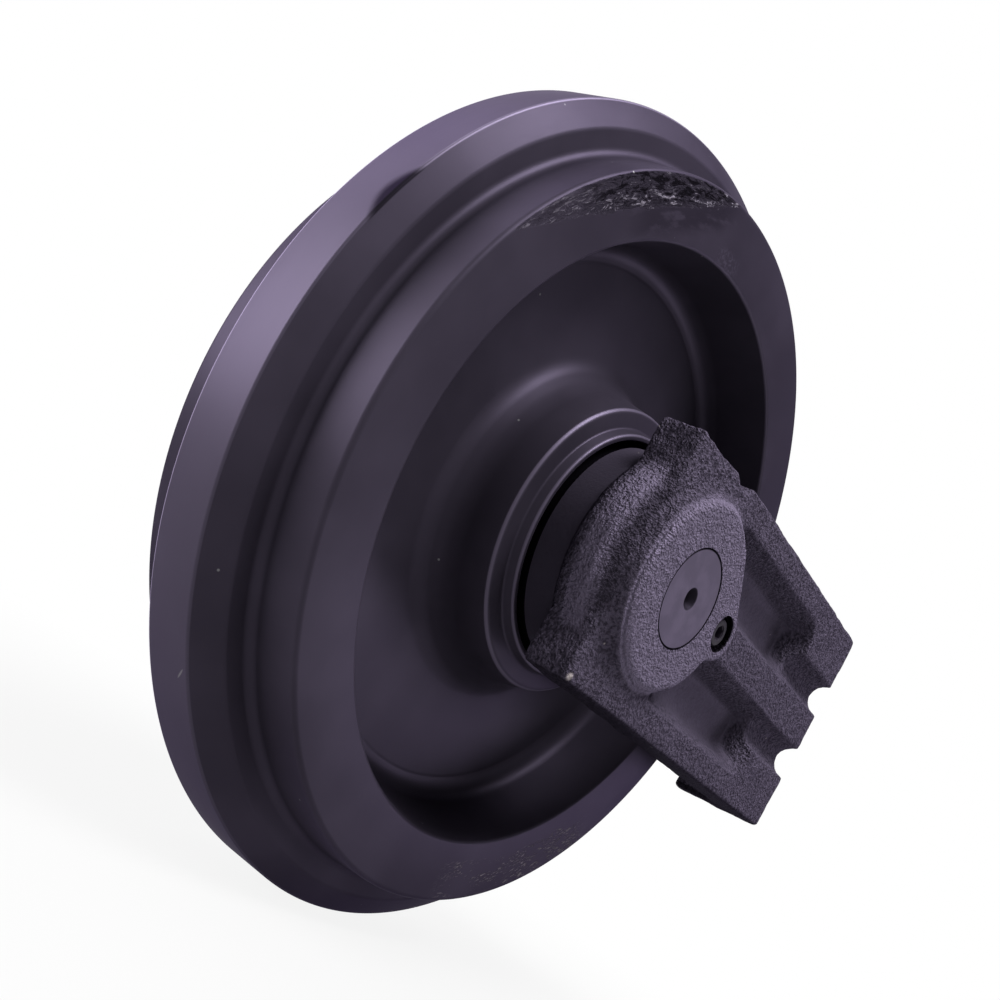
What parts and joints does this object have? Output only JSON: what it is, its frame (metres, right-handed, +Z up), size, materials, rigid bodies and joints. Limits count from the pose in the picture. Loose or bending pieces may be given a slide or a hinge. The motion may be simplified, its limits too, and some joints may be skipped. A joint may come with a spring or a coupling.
{
  "type": "excavator front idler",
  "caption": "Cast idler wheel with a centre flange, turning on a fixed greased shaft between two cast sliding brackets that bolt to the recoil yoke.",
  "frame": {"origin": "centre of the shaft's axis, in the middle plane of the wheel's flange", "axes": "+Y along the shaft from the near to the far bracket, +X back to the recoil yoke, +Z up"},
  "size_m": [0.3987, 0.188, 0.384],
  "materials": {
    "black_paint": "satin black paint on machined iron",
    "black_casting": "satin black paint on rough cast iron",
    "steel": "ground steel",
    "dark_steel": "blackened screw steel",
    "bronze": "plain bronze",
    "rubber": "black seal rubber"
  },
  "bodies": {
    "carrier": {"bracket_near": "black_casting", "bracket_far": "black_casting", "shaft": "steel", "oil_plug": "dark_steel", "seal_ring_bracket_near": "steel", "seal_ring_bracket_far": "steel", "seal_rubber_bracket_near": "rubber", "seal_rubber_bracket_far": "rubber", "o_ring_near": "rubber", "o_ring_far": "rubber", "socket_screw_near": "dark_steel", "socket_screw_far": "dark_steel", "lock_pin_near": "steel", "lock_pin_far": "steel"},
    "wheel": {"idler_wheel": "black_paint", "bushing_near": "bronze", "bushing_far": "bronze", "seal_ring_wheel_near": "steel", "seal_ring_wheel_far": "steel", "seal_rubber_wheel_near": "rubber", "seal_rubber_wheel_far": "rubber"}
  },
  "joints": [
    {"name": "wheel_spin", "type": "hinge", "parent": "carrier", "child": "wheel", "pos_m": [0, 0, 0], "axis": [0, 1, 0], "continuous": true}
  ]
}
